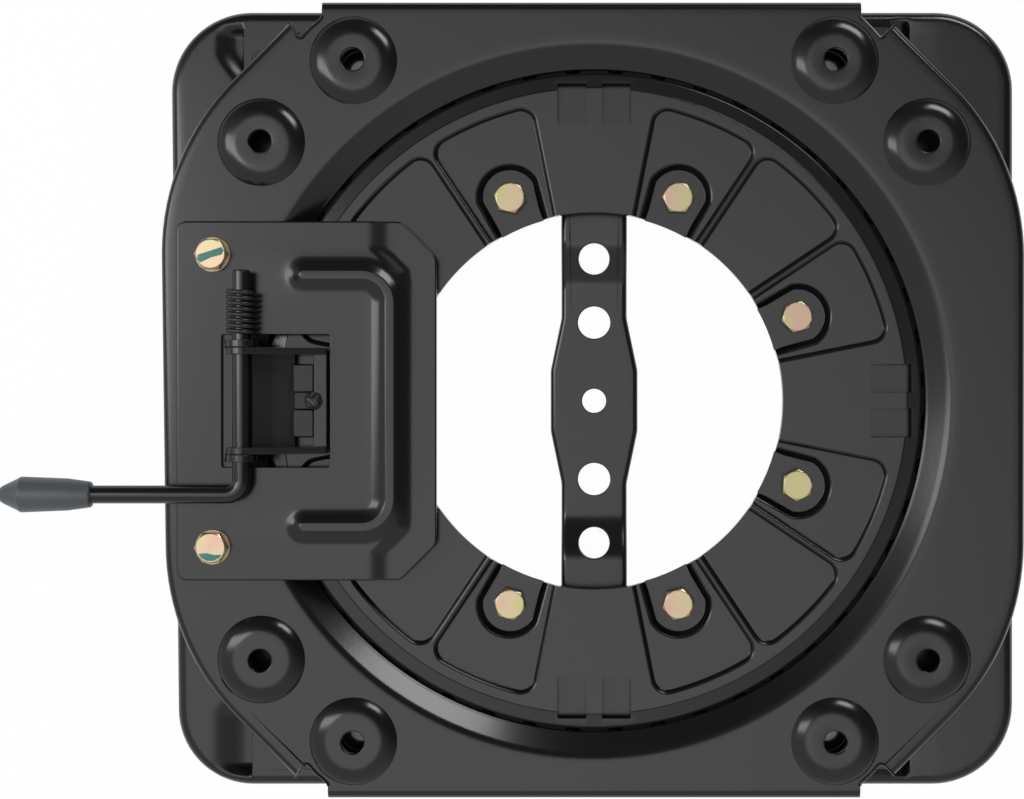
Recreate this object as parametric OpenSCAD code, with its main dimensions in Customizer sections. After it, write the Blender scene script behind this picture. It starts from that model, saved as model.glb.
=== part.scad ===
// Seat swivel plate: a bearing turntable between a seat and its frame, with a spring lever lock.
// Origin on the swivel axis at the resting plane, +Z up, lever to -X, millimetres.

/* [Sheet metal] */
// Thickness of the pressed plates
sheet = 3; // [2.5:0.1:3.5]

/* [Base plate] */
// Width of the base plate along X
base_w = 386; // [376:1:392]
// Depth of the base plate along Y
base_d = 356; // [348:1:362]
// Outer corner radius of the base plate
base_r = 36; // [28:1:38]
// Height of the base plate's field above the resting plane
base_h = 10; // [9:0.5:10.5]
// Height of the round platform that carries the bearing
plat_h = 16; // [16:0.5:18]
// Pitch of the mounting bolts along X, narrow pattern
mount_x = 215; // [205:1:220]
// Pitch of the mounting bolts along Y, narrow pattern
mount_y = 304; // [298:1:306]
// Radius of every mounting hole
mount_hole_r = 5; // [4:0.25:5.5]
// Distance of the left grooves' steep side from the base plate's edge
rib_left = 34; // [31:0.5:38]
// Distance of the right grooves' steep side from the base plate's edge
rib_right = 56.5; // [54:0.5:59]
// Length of each groove
rib_len = 38; // [34:1:42]
// Length of the strap's wide middle
strap_mid = 28; // [24:1:34]

/* [Bearing] */
// Radius of one bearing ball
ball_r = 3.175; // [3:0.025:3.2]
// Radius of the circle through the ball centres
ball_pitch_r = 150; // [149.8:0.1:150.2]
// Number of balls
ball_count = 48; // [24:4:60]
// Running clearance between balls and tracks
ball_gap = 0.15; // [0.1:0.05:0.3]

/* [Clamp ring] */
// Radius of the central opening
open_r = 84.4; // [82:0.2:85]
// Distance from the opening's edge to the centres of the clamp bolts
bolt_in = 14.3; // [13.8:0.1:14.8]
// Depth of the sector pockets
pocket_d = 2.5; // [1.5:0.1:2.8]
// Radius of the pockets' outer edge
pocket_r = 131; // [129:0.5:133]
// Distance from the pockets' outer edge in to the start of a lock slot
slot_in = 7; // [6:0.5:8]
// Radial length of a lock slot
slot_len = 19; // [18:0.5:20]
// Width of a lock slot
slot_w = 13; // [12.8:0.1:14]
// Distance between the two slots of a pair
slot_pitch = 20; // [19:0.5:21]

/* [Seat plate] */
// Width of the seat plate along X
seat_w = 385; // [380:1:388]
// Depth of the seat plate over its two flanges
seat_d = 357; // [354:1:360]
// Pitch of the seat bolts along X, wide pattern
wide_x = 297.2; // [294:0.2:298]
// Pitch of the seat bolts along Y, wide pattern
wide_y = 231; // [228:1:233]
// Width of each flange
flange_w = 239; // [236:1:241]
// Radius of the seat plate's rounded corners
corner_r = 95; // [90:1:98]
// Height of the raised bosses
boss_h = 4; // [3:0.5:5]
// Radius of a boss at its foot
boss_r = 19.6; // [19:0.1:20]
// Rise of the shoulder from the ball track to the seat plate's underside
shoulder_h = 5.475; // [5.2:0.1:6]

/* [Lock] */
// Width of the lock plate along Y
lock_w = 160; // [157:1:162]
// Pitch of the two lock bolts along Y
lock_pitch = 130; // [128:1:131]
// Thickness of the lock plate
lock_t = 3; // [2.5:0.25:3.5]
// Diameter of the lever rod
rod_d = 8; // [7.5:0.25:8.5]
// Distance of the lever's pivot from the swivel axis
pivot_x = 155.6; // [155:0.2:156]
// Height of the lever's pivot
pivot_z = 44; // [43.5:0.5:46]
// Running clearance of the rod in its bracket
pivot_gap = 0.08; // [0.05:0.01:0.1]
// Width of one lock tooth
tooth_w = 12.2; // [11:0.1:12.4]
// Length of one lock tooth along X
tooth_l = 9; // [8:0.25:9.5]
// Clearance between the tooth tips and the clamp ring when lifted
tooth_lift = 0.8; // [0.5:0.1:1.2]
// Wire diameter of the return spring
wire_d = 2; // [1.8:0.1:2.1]
// Turns of the return spring
spring_turns = 8; // [6:1:9]

/* [Fasteners] */
// Nominal thread radius of the bolts
bolt_r = 4; // [3.5:0.25:4]
// Width across the flats of bolt heads and nuts
bolt_af = 13; // [12:0.5:13]
// Height of a bolt head
head_h = 5.3; // [4:0.1:5.4]
// Clearance of a bolt in its hole
bolt_gap = 0.3; // [0.2:0.1:0.5]

/* [Hidden] */
e = 0.01;
roll = 5;
hub_z = plat_h;
cup_z = hub_z + sheet;
tab_z = cup_z + sheet;
ring_top = tab_z + sheet + pocket_d;
ball_z = hub_z + sheet + 2.2;
track_z = ball_z + ball_r + ball_gap;
seat_z = track_z + shoulder_h;
seat_top = seat_z + sheet;
lock_z = seat_top;
lock_top = lock_z + lock_t;
head_z = tab_z + sheet;
half = 11.25;
bolt_pitch_r = open_r + bolt_in;
slot_x = pocket_r - slot_in;
lock_x = -ball_pitch_r - 19.5;
lock_left = lock_x - 16.5;
lip = ball_pitch_r - 2.5;

// points on an arc, both ends included
function arc(cx, cy, r, a0, a1, n) =
    [for (i = [0:n]) let (a = a0 + (a1 - a0) * i / n) [cx + r * cos(a), cy + r * sin(a)]];
function flip(p) = [for (i = [len(p) - 1:-1:0]) [p[i][0], -p[i][1]]];

// solid between outline a at height z0 and outline b at height z1, both counter-clockwise
module loft(a, z0, b, z1) {
    n = len(a);
    polyhedron(
        points = concat([for (p = a) [p[0], p[1], z0]], [for (p = b) [p[0], p[1], z1]]),
        faces = concat([[for (i = [0:n - 1]) i]], [[for (i = [n - 1:-1:0]) n + i]],
            [for (i = [0:n - 1]) let (j = (i + 1) % n) [i, n + i, n + j]],
            [for (i = [0:n - 1]) let (j = (i + 1) % n) [i, n + j, j]]));
}

// straight length of an edge profile, outward along local X
module edge_run(len) translate([0, len, 0]) rotate([90, 0, 0]) linear_extrude(len) children();

// rolled-down edge: a flat land, a quarter bend and a straight skirt, outer face at x = r
module rolled_edge(r, top, drop) {
    polygon(concat([[r - roll - 2.5, top - sheet], [r - roll - 2.5, top]],
        arc(r - roll, top - roll, roll, 90, 0, 8), [[r, top - drop], [r - sheet, top - drop]],
        arc(r - roll, top - roll, roll - sheet, 0, 90, 6)));
}

// bolt circle in the middle of each bolt pocket
module at_pockets() for (k = [0:7]) rotate(22.5 + 45 * k) children();
module at_four(x, y) for (sx = [-1, 1], sy = [-1, 1]) translate([sx * x / 2, sy * y / 2, 0]) children();

module hex(af, h) intersection() {
    cylinder(r = af / sqrt(3), h = h, $fn = 6);
    union() {
        cylinder(r = af / sqrt(3) + 0.1, h = h - 1, $fn = 48);
        translate([0, 0, h - 1]) cylinder(r1 = af / sqrt(3) + 0.1, r2 = af / 2 - 0.3, h = 1, $fn = 48);
    }
}

// pressed base pan with a rolled rim, pressed-down mounting feet, two ribs and the bearing platform
module base_plate() color("#2b2b2b") {
    cx = base_w / 2 - base_r;
    cy = base_d / 2 - base_r;
    ri = base_r - roll - 1.5;
    rib_x = [rib_left - base_w / 2, base_w / 2 - rib_right];
    rib_w = [14, 10.5];
    rib_y = base_d / 2 - 3.5;
    rib_z = base_h - 4.5;
    difference() {
        union() {
            for (k = [0:3]) {
                sx = (k == 0 || k == 3) ? 1 : -1;
                sy = k < 2 ? 1 : -1;
                translate([sx * cx, sy * cy, 0]) {
                    rotate(90 * k) rotate_extrude(angle = 90, $fn = 96) rolled_edge(base_r, base_h, base_h);
                    rotate(90 * k + 90) edge_run(k % 2 == 0 ? 2 * cx : 2 * cy)
                        rolled_edge(base_r, base_h, base_h);
                }
            }
            difference() {
                translate([0, 0, base_h - sheet]) linear_extrude(sheet) polygon(concat(
                    arc(cx, cy, ri, 0, 90, 12), arc(-cx, cy, ri, 90, 180, 12),
                    arc(-cx, -cy, ri, 180, 270, 12), arc(cx, -cy, ri, 270, 360, 12)));
                translate([0, 0, -1]) cylinder(r = ball_pitch_r + 1.8, h = 30, $fn = 180);
            }
            rotate_extrude($fn = 180) polygon([[open_r + 3.6, plat_h - sheet],
                [ball_pitch_r - 9, plat_h - sheet], [ball_pitch_r - 1, base_h - sheet],
                [ball_pitch_r + 4, base_h - sheet], [ball_pitch_r + 4, base_h],
                [ball_pitch_r, base_h], [ball_pitch_r - 8, plat_h], [open_r + 3.6, plat_h]]);
            for (k = [0, 1], m = [0, 1]) mirror([0, m, 0]) translate([rib_x[k], rib_y, 0]) mirror([k, 0, 0])
                rotate([90, 0, 0]) linear_extrude(rib_len) polygon([[-rib_w[k] - 1.5, base_h - sheet + e],
                    [-rib_w[k] / 2 - 1, rib_z - sheet], [1.5, rib_z - sheet], [3, base_h - sheet + e]]);
            at_four(mount_x, mount_y) cylinder(r1 = 12, r2 = 17, h = base_h, $fn = 72);
        }
        for (k = [0, 1], m = [0, 1]) mirror([0, m, 0]) translate([rib_x[k], rib_y - 2, 0]) mirror([k, 0, 0])
            rotate([90, 0, 0]) linear_extrude(rib_len - 4.5) polygon([[-rib_w[k], base_h + e],
                [-rib_w[k] / 2 + 1, rib_z], [-0.3, rib_z], [0, base_h + e]]);
        at_four(mount_x, mount_y) {
            translate([0, 0, sheet]) cylinder(r1 = 9.5, r2 = 14.5, h = base_h - sheet + e, $fn = 72);
            translate([0, 0, -1]) cylinder(r = mount_hole_r, h = 12, $fn = 48);
        }
        translate([rib_x[0] + 6, rib_y - 18, -1]) cylinder(r = 3.2, h = 14, $fn = 32);
        at_pockets() translate([bolt_pitch_r, 0, 0]) cylinder(r = bolt_r + bolt_gap, h = 30, $fn = 48);
    }
}

// lower inner race with eight folded tongues under the clamp bolts
module hub_ring() color("#333333") difference() {
    union() {
        difference() {
            translate([0, 0, hub_z]) cylinder(r = lip, h = sheet, $fn = 180);
            translate([0, 0, hub_z - 1]) cylinder(r = open_r, h = sheet + 2, $fn = 180);
        }
        at_pockets() {
            translate([open_r - 1, -10, hub_z]) cube([sheet + 0.6, 20, head_z - hub_z]);
            translate([open_r - 1, -10, tab_z]) cube([bolt_pitch_r - open_r + 1, 20, sheet]);
            translate([bolt_pitch_r, 0, tab_z]) cylinder(r = 10, h = sheet, $fn = 64);
        }
    }
    translate([0, 0, hub_z - 1]) cylinder(r = open_r - 0.2, h = 20, $fn = 180);
    at_pockets() translate([bolt_pitch_r, 0, hub_z - 1]) cylinder(r = bolt_r + bolt_gap, h = 12, $fn = 48);
}

// outline of a sector pocket: wall distance g from the sector lines, outer radius ro, corner radius rc
function sector(g, ro, rc, tin) = let (
    t = sqrt(pow(ro - rc, 2) - pow(g + rc, 2)),
    c = [t * cos(half) + (g + rc) * sin(half), t * sin(half) - (g + rc) * cos(half)],
    phi = atan2(c[1], c[0]),
    up = concat(arc(0, 0, ro, 1.5, phi - 1.5, 3), arc(c[0], c[1], rc, phi, half + 90, 5),
        [[tin * cos(half) + g * sin(half), tin * sin(half) - g * cos(half)]]))
    concat(flip(up), up);
function cup(w_in, r) = concat([[open_r - 6.4, -w_in]], arc(bolt_pitch_r, 0, r, -90, 90, 16), [[open_r - 6.4, w_in]]);

// upper inner race: a stamped ring with twelve sector pockets, eight bolt cups and four slot pairs
module clamp_ring() color("#3a3a3a") difference() {
    union() {
        difference() {
            rotate_extrude($fn = 180) polygon([[open_r, tab_z], [pocket_r + 1.5, tab_z],
                [pocket_r + 4, ring_top - sheet], [lip - 4, ring_top - sheet], [lip - 2.3, cup_z + 4.5],
                [lip, cup_z + 4.5], [lip, ring_top - 2], [lip - 0.8, ring_top - 0.7],
                [lip - 2.2, ring_top], [open_r, ring_top]]);
            for (k = [0:3]) rotate(90 * k) loft(sector(-1.5, pocket_r + 5, 6, open_r - 14), tab_z - 1,
                sector(0.5, pocket_r + 2, 6, open_r - 14), ring_top - sheet);
        }
        at_pockets() loft(cup(12.6, 13.4), cup_z, cup(15, 17.2), tab_z + 0.6);
    }
    for (k = [0:15]) if (k % 4 != 0) rotate(22.5 * k)
        loft(sector(3.1, pocket_r - 1.5, 6, open_r - 8), tab_z + sheet, sector(1.1, pocket_r, 7, open_r - 8), ring_top + e);
    at_pockets() {
        loft(cup(11.2, 11.8), tab_z, cup(12.9, 15.2), tab_z + sheet + e);
        translate([open_r - 4, -10.4, cup_z - 1]) cube([6.9, 20.8, 12]);
        translate([bolt_pitch_r, 0, cup_z - 1]) cylinder(r = bolt_r + bolt_gap, h = 12, $fn = 48);
    }
    translate([0, 0, cup_z - 1]) cylinder(r = open_r, h = 20, $fn = 180);
    for (k = [0:3], s = [-1, 1]) rotate(90 * k)
        translate([slot_x, s * slot_pitch / 2 - slot_w / 2, cup_z]) cube([slot_len, slot_w, 12]);
}

module bolt(reach) {
    hex(bolt_af, head_h);
    translate([0, 0, -reach]) cylinder(r = bolt_r, h = reach + e, $fn = 48);
}

module clamp_bolts() color("#c8b872") at_pockets() translate([bolt_pitch_r, 0, head_z]) rotate(7) bolt(18);

module clamp_nuts() color("#b9a968") at_pockets() translate([bolt_pitch_r, 0, plat_h - sheet])
    mirror([0, 0, 1]) difference() {
        hex(bolt_af, 6.4);
        translate([0, 0, -1]) cylinder(r = bolt_r, h = 9, $fn = 48);
    }

// outline of the strap across the opening, grown inwards by d
function strap(d) = let (q = [[20 - d, strap_mid / 2], [15 - d, 10 + strap_mid], [15 - d, open_r + 19.6 - d]])
    concat([for (p = q) p], [for (i = [2:-1:0]) [-q[i][0], q[i][1]]],
        [for (p = q) [-p[0], -p[1]]], [for (i = [2:-1:0]) [q[i][0], -q[i][1]]]);
// side view of the strap between a lower and an upper offset from its top face
function strap_side(lo, hi) = let (q = [[0, 6], [open_r - 31.4, 6], [open_r - 12.4, plat_h - sheet], [open_r + 26, plat_h - sheet]])
    concat([for (p = q) [p[0], p[1] + lo]], [for (i = [3:-1:0]) [q[i][0], q[i][1] + hi]],
        [for (i = [1:3]) [-q[i][0], q[i][1] + hi]], [for (i = [3:-1:1]) [-q[i][0], q[i][1] + lo]]);

// channel-shaped strap across the central opening
module centre_bridge() color("#222222") difference() {
    intersection() {
        linear_extrude(40) polygon(strap(0));
        rotate([90, 0, 90]) translate([0, 0, -30]) linear_extrude(60) polygon(strap_side(-5, 0));
    }
    intersection() {
        translate([0, 0, -1]) linear_extrude(40) polygon(strap(3));
        rotate([90, 0, 90]) translate([0, 0, -30]) linear_extrude(60) polygon(strap_side(-9, -sheet));
    }
    translate([0, 0, -1]) cylinder(r = 5.5, h = 20, $fn = 48);
    for (s = [-1, 1]) {
        translate([0, 36 * s, -1]) cylinder(r = 7.4, h = 20, $fn = 48);
        translate([0, 65 * s, -1]) cylinder(r = 7, h = 20, $fn = 48);
    }
}

module bearing_balls() color("#9a9a9a") for (i = [0:ball_count - 1]) rotate(360 * (i + 0.5) / ball_count)
    translate([ball_pitch_r, 0, ball_z]) sphere(r = ball_r, $fn = 24);

module ball_cage() color("#7a7a70") difference() {
    translate([0, 0, ball_z - 0.8]) cylinder(r = ball_pitch_r + 7, h = 1.6, $fn = 180);
    translate([0, 0, ball_z - 2]) cylinder(r = ball_pitch_r - 5.4, h = 4, $fn = 180);
    for (i = [0:ball_count - 1]) rotate(360 * (i + 0.5) / ball_count)
        translate([ball_pitch_r, 0, ball_z - 2]) cylinder(r = ball_r + ball_gap, h = 4, $fn = 32);
}

// upper outer race and seat plate with flanged edges, raised bosses and a drawn round opening
module seat_plate() color("#3d3d3d") {
    sx = seat_w / 2;
    sy = seat_d / 2;
    ar = corner_r;
    tr = ball_pitch_r - 1.1;
    ax = sx - ar;
    ay = sy - ar - 13.2;
    fx = flange_w / 2;
    di = ar - roll - 1.5;
    dx = ax + di * cos(45);
    dy = ay + di * sin(45);
    run = (ax + ar * cos(45) - fx - 15.4) / cos(45);
    difference() {
        union() {
            for (mx = [0, 1], my = [0, 1]) mirror([mx, 0, 0]) mirror([0, my, 0]) {
                translate([ax, ay, 0]) {
                    rotate_extrude(angle = 45, $fn = 180) rolled_edge(ar, seat_top, 7);
                    rotate(45) edge_run(run) rolled_edge(ar, seat_top, 7);
                    translate([0, -ay, 0]) edge_run(ay) rolled_edge(ar, seat_top, 7);
                }
                translate([0, sy - 20, 0]) rotate(90) translate([0, -fx, 0]) edge_run(fx)
                    rolled_edge(20, seat_top, 14);
            }
            difference() {
                translate([0, 0, seat_z]) linear_extrude(sheet) polygon([for (m = [[1, 1], [-1, 1], [-1, -1], [1, -1]])
                    let (q = concat(arc(ax, ay, di, 0, 45, 10),
                        [[fx + 11.6, dx + dy - fx - 11.6], [fx + 8.4, sy - 15.9],
                            [fx, sy - 7.2], [fx, sy - roll - 1.5], [0, sy - roll - 1.5]]))
                    each [for (i = [0:len(q) - 1]) let (p = q[m[0] * m[1] > 0 ? i : len(q) - 1 - i])
                        [p[0] * m[0], p[1] * m[1]]]]);
                translate([0, 0, seat_z - 1]) cylinder(r = tr + 14.6, h = 9, $fn = 180);
            }
            rotate_extrude($fn = 180) polygon([[tr + 17.1, seat_z], [tr + 17.1, seat_top], [tr + 11.9, seat_top],
                [tr + 9.7, seat_top - 0.6], [tr + 7.9, seat_top - 1.9], [tr + 3.5, track_z + 3.3],
                [tr + 1.7, track_z + 2.3], [tr + 0.5, track_z + 1.1], [tr, track_z], [tr + 5.9, track_z],
                [tr + 10.3, track_z + 3.3], [tr + 13.1, seat_z]]);
            at_four(wide_x, wide_y) cylinder_boss();
            at_four(mount_x, mount_y) cylinder_boss();
        }
        at_four(wide_x, wide_y) boss_cut();
        at_four(mount_x, mount_y) boss_cut();
        at_lock_bolts() translate([0, 0, seat_z - 1]) cylinder(r = bolt_r + bolt_gap, h = 9, $fn = 48);
        translate([0, 0, seat_z - 12]) cylinder(r = tr, h = 30, $fn = 180);
    }
}
module cylinder_boss() translate([0, 0, seat_z]) {
    cylinder(r = boss_r, h = sheet, $fn = 72);
    translate([0, 0, sheet]) cylinder(r1 = boss_r, r2 = boss_r - 7.3, h = boss_h, $fn = 72);
}
module boss_cut() {
    translate([0, 0, seat_z - e]) cylinder(r1 = boss_r - 2.2, r2 = boss_r - 9.5, h = boss_h + e, $fn = 72);
    translate([0, 0, seat_z]) cylinder(r = mount_hole_r, h = 12, $fn = 48);
}

// lower outer race, welded under the seat plate
module race_retainer() color("#303030") rotate_extrude($fn = 180) {
    a = ball_pitch_r + 2.4;
    b = ball_pitch_r + 16;
    polygon([[a, ball_z - 4.9], [b + 1, ball_z - 4.9], [b + 2.5, ball_z - 3.4], [b + 2.5, seat_z - 2.5],
        [b + 7, seat_z - 2.5], [b + 7, seat_z], [b, seat_z], [b, ball_z - 2.4], [a, ball_z - 2.4]]);
}

// room right of the step in the lock plate, between heights z0 and z1, with a sloping wall of run s
step_x = lock_left + 101;
module wedge(z0, z1, s) translate([0, 100, 0]) rotate([90, 0, 0]) linear_extrude(200)
    polygon([[0, z0], [60, z0], [60, z1], [-s, z1]]);
module step_zone(o, z0, z1, s) {
    translate([step_x + o, 0, 0]) wedge(z0, z1, s);
    for (m = [0, 1]) mirror([0, m, 0]) intersection() {
        translate([step_x - 11 + o, 0, 0]) wedge(z0, z1, s);
        translate([step_x + o, lock_w / 2 - 22, 0]) rotate(45) wedge(z0, z1, s);
    }
}

// bead section, half width w and height h
module bead_half(x) polygon([[x - 4.4, -0.5], [x + 4.4, -0.5], [x + 4.4, 0], [x + 2.6, 1.7], [x - 2.6, 1.7], [x - 4.4, 0]]);

bead_x = step_x - 7.9;
bead_end = -131.5;
// pressed plate over the lock, with a window, a stepped end and a raised C-shaped bead
module lock_plate() color("#404040") difference() {
    hw = lock_w / 2;
    by = hw - 23.5;
    union() {
        intersection() {
            translate([0, 0, 28]) linear_extrude(20) polygon(concat(
                arc(lock_left + 4.5, 4.5 - hw, 4.5, 180, 270, 5), [[step_x - 1.3, -hw],
                [step_x + 14.7, 16 - hw], [step_x + 14.7, hw - 16], [step_x - 1.3, hw]],
                arc(lock_left + 4.5, hw - 4.5, 4.5, 90, 180, 5)));
            union() {
                difference() {
                    translate([lock_left - 4, -hw - 5, lock_z]) cube([125, lock_w + 10, lock_t]);
                    step_zone(0, lock_top - 2, lock_top + e, 3);
                }
                step_zone(1.2, lock_z - 2, lock_z, 3);
            }
        }
        for (s = [0, 1]) mirror([0, s, 0]) translate([0, 0, lock_top]) {
            translate([bead_x - 9, by, 0]) rotate([90, 0, -90]) linear_extrude(bead_x - 9 - bead_end) bead_half(0);
            translate([bead_x - 9, by - 9, 0]) rotate_extrude(angle = 90, $fn = 72) bead_half(9);
            translate([bead_end, by, 0]) {
                cylinder(r1 = 4.4, r2 = 2.6, h = 1.7, $fn = 48);
                translate([0, 0, -0.5]) cylinder(r = 4.4, h = 0.5, $fn = 48);
            }
            translate([bead_x, 0, 0]) edge_run(by - 9) bead_half(0);
        }
    }
    translate([-pivot_x - 10.1, -29.5, lock_z - 1]) cube([pivot_x + 10.1 + pawl_end + 1, 59, 12]);
    at_lock_bolts() translate([0, 0, lock_z - 1]) cylinder(r = bolt_r + bolt_gap, h = 12, $fn = 48);
}

module at_lock_bolts() for (s = [-1, 1]) translate([lock_x, s * lock_pitch / 2, 0]) children();
module lock_bolts() color("#cbb26a") at_lock_bolts() translate([0, 0, lock_top + 1.6]) bolt(lock_t + sheet + 9);
module lock_washers() color("#c2ad6c") at_lock_bolts() translate([0, 0, lock_top]) difference() {
    cylinder(r = 7.8, h = 1.6, $fn = 64);
    translate([0, 0, -1]) cylinder(r = bolt_r + bolt_gap, h = 4, $fn = 48);
}
module lock_nuts() color("#b9a968") at_lock_bolts() translate([0, 0, seat_z]) mirror([0, 0, 1]) difference() {
    hex(bolt_af, 6.4);
    translate([0, 0, -1]) cylinder(r = bolt_r, h = 9, $fn = 48);
}

// one unbroken spring wire: coil points with a straight leg at each end
coil_r = rod_d / 2 + 0.8 + wire_d / 2;
coil_pitch = 2.46;
coil_y0 = 28.9 + wire_d / 2;
coil_pts = concat(
    [for (t = [3:-1:1]) [coil_r, coil_y0, -t * (pivot_z - lock_top - 0.05) / 3]],
    [for (i = [0:8 * spring_turns]) let (a = 45 * i) [coil_r * cos(a), coil_y0 + coil_pitch * i / 8, coil_r * sin(a)]],
    [for (t = [1.5, 3]) [coil_r, coil_y0 + coil_pitch * spring_turns, t]]);
function unit(v) = v / norm(v);
function ring_at(p, d, ref) = let (u = unit(ref - (ref * d) * d), v = cross(d, u))
    [for (k = [0:5]) p + wire_d / 2 * (cos(60 * k) * u + sin(60 * k) * v)];
module wire(pts) {
    n = len(pts);
    dirs = [for (i = [0:n - 1]) unit(pts[min(i + 1, n - 1)] - pts[max(i - 1, 0)])];
    rings = [for (i = [0:n - 1]) each ring_at(pts[i], dirs[i], [0, 1, 0])];
    polyhedron(points = rings, faces = concat([[0, 1, 2, 3, 4, 5]],
        [[for (k = [5:-1:0]) 6 * (n - 1) + k]],
        [for (i = [0:n - 2], k = [0:5]) let (a = 6 * i + k, b = 6 * i + (k + 1) % 6) [a, b + 6, b]],
        [for (i = [0:n - 2], k = [0:5]) let (a = 6 * i + k, b = 6 * i + (k + 1) % 6) [a, a + 6, b + 6]]));
}
coil_gap = min([for (i = [0:len(coil_pts) - 1], j = [0:len(coil_pts) - 1]) if (j > i + 5)
    norm(coil_pts[i] - coil_pts[j])]) - wire_d;
echo(coil_gap = coil_gap);
module return_spring() color("#1c1c1c") translate([-pivot_x, 0, pivot_z]) wire(coil_pts);

// bracket with two ears on the seat plate that carries the lever rod
module pivot_bracket() color("#1f1f1f") difference() {
    union() {
        translate([-pivot_x - 9.7, -26.8, seat_top]) cube([12.8, 53.6, 2]);
        for (s = [-1, 1]) translate([0, s * 25.25 + 1.55, 0]) rotate([90, 0, 0]) linear_extrude(3.1)
            polygon(concat([[-pivot_x - 9.7, seat_top], [3.6 - pivot_x, seat_top]],
                arc(-pivot_x, pivot_z, 7, -25, 205, 14)));
    }
    translate([-pivot_x, -40, pivot_z]) rotate([-90, 0, 0]) cylinder(r = rod_d / 2 + pivot_gap, h = 80, $fn = 64);
}

// cranked lever rod: pivot length along Y, bend, arm along -X
arm_y = -41.3;
bend_r = 6.5;
grip_x = 256.5;
module lever_rod() color("#151515") translate([-pivot_x, 0, pivot_z]) {
    translate([0, arm_y + bend_r, 0]) rotate([-90, 0, 0]) cylinder(r = rod_d / 2, h = 57 - arm_y - bend_r, $fn = 64);
    translate([0, 57, 0]) rotate([-90, 0, 0]) cylinder(r1 = rod_d / 2, r2 = rod_d / 2 - 0.7, h = 0.7, $fn = 64);
    translate([-bend_r, arm_y + bend_r, 0]) rotate(-90) rotate_extrude(angle = 90, $fn = 96)
        translate([bend_r, 0]) circle(r = rod_d / 2, $fn = 64);
    translate([-bend_r, arm_y, 0]) rotate([0, -90, 0]) cylinder(r = rod_d / 2, h = grip_x - 0.2 - pivot_x - bend_r, $fn = 64);
}

// moulded grip, a body of revolution about the lever arm
module lever_grip() color("#5f6265") translate([0, arm_y, pivot_z]) rotate([0, -90, 0]) rotate_extrude($fn = 96)
    polygon(concat([[rod_d / 2, 221.4]], arc(4.6, 222.6, 1.2, -90, 0, 3), [[7.1, 232], [7.9, 251.5]],
        arc(6.2, 252.2, 1.7, 10, 50, 3), [[4.4, 259.6], [3.4, 261.4], [1.8, 262.6], [0, 262.9],
        [0, grip_x], [rod_d / 2, grip_x]]));

// locking pawl: a folded channel fixed on the rod
pawl_z = pivot_z - 9;
tooth_x = -slot_x - 0.6;
pawl_end = tooth_x + 5.9;
module pawl_bracket() color("#232323") difference() {
    px = 6.1 - pivot_x;
    union() {
        translate([px, -23.5, pawl_z]) cube([pawl_end - px, 47, 3]);
        for (s = [-1, 1]) translate([0, s * 22 + 1.5, 0]) rotate([90, 0, 0]) linear_extrude(3)
            polygon(concat([[px, pawl_z], [pawl_end, pawl_z], [pawl_end, pawl_z + 4.5]],
                arc(-pivot_x, pivot_z, 6.6, 75, 290, 14)));
    }
    translate([px - 1, -20.5, pawl_z - 1]) cube([tooth_x - px + 1, 41, 5]);
    translate([-pivot_x, -40, pivot_z]) rotate([-90, 0, 0]) cylinder(r = rod_d / 2, h = 80, $fn = 64);
}
// two lock teeth on one block
module tooth_block() color("#2c2c2c") {
    z0 = ring_top + tooth_lift;
    for (s = [-1, 1]) translate([tooth_x - tooth_l, s * slot_pitch / 2 - tooth_w / 2, z0])
        cube([tooth_l, tooth_w, pawl_z + 3.4 - z0]);
    translate([tooth_x - tooth_l, -slot_pitch / 2, pawl_z - 1.2]) cube([tooth_l, slot_pitch, 1.2]);
}

// weld that joins the tooth block to the pawl
module tooth_weld() color("#303030") translate([tooth_x, 0, pawl_z + 3]) difference() {
    sphere(r = 3.8, $fn = 32);
    translate([0, -5, -5]) cube([5, 10, 5]);
    translate([-5, -5, -8]) cube([10, 10, 5]);
}

base_plate();
hub_ring();
clamp_ring();
clamp_bolts();
clamp_nuts();
centre_bridge();
bearing_balls();
ball_cage();
seat_plate();
race_retainer();
lock_plate();
lock_bolts();
lock_washers();
lock_nuts();
pivot_bracket();
return_spring();
lever_rod();
lever_grip();
pawl_bracket();
tooth_block();
tooth_weld();
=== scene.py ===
# %% [markdown]
# # Seat swivel plate
# A black steel turntable goes between a seat and its frame. Everything hard is already a solid in
# the frame that is loaded here, in metres, at its real place. This notebook gives each pressed plate
# the soft edges that a press leaves, models the small parts that the eye rests on, and paints them.

import bpy
import bmesh
import math
from mathutils import Matrix, Vector, noise
from mathutils.geometry import tessellate_polygon


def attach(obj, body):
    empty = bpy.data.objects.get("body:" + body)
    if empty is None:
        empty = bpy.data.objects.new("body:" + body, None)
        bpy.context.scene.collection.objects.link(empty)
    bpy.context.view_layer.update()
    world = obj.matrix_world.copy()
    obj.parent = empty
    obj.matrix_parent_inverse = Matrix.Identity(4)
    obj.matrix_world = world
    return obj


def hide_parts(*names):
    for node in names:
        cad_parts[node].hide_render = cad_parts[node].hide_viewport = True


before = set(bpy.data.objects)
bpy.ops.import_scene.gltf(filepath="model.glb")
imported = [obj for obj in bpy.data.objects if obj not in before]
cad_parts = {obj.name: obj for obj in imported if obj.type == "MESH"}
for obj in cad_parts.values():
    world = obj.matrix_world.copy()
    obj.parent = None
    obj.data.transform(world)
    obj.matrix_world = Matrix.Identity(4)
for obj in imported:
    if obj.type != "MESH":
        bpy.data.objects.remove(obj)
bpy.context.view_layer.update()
MM = 0.001


# %% [markdown]
# ## Colours and nodes
# Colours are written as the sRGB hex values that a picture shows, and one function turns them to the
# linear values that the shader wants. Linear values could be typed instead, but then nobody could compare
# them with the picture. The other helpers add a node with its settings, start a material and set values on
# its shader.

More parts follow.
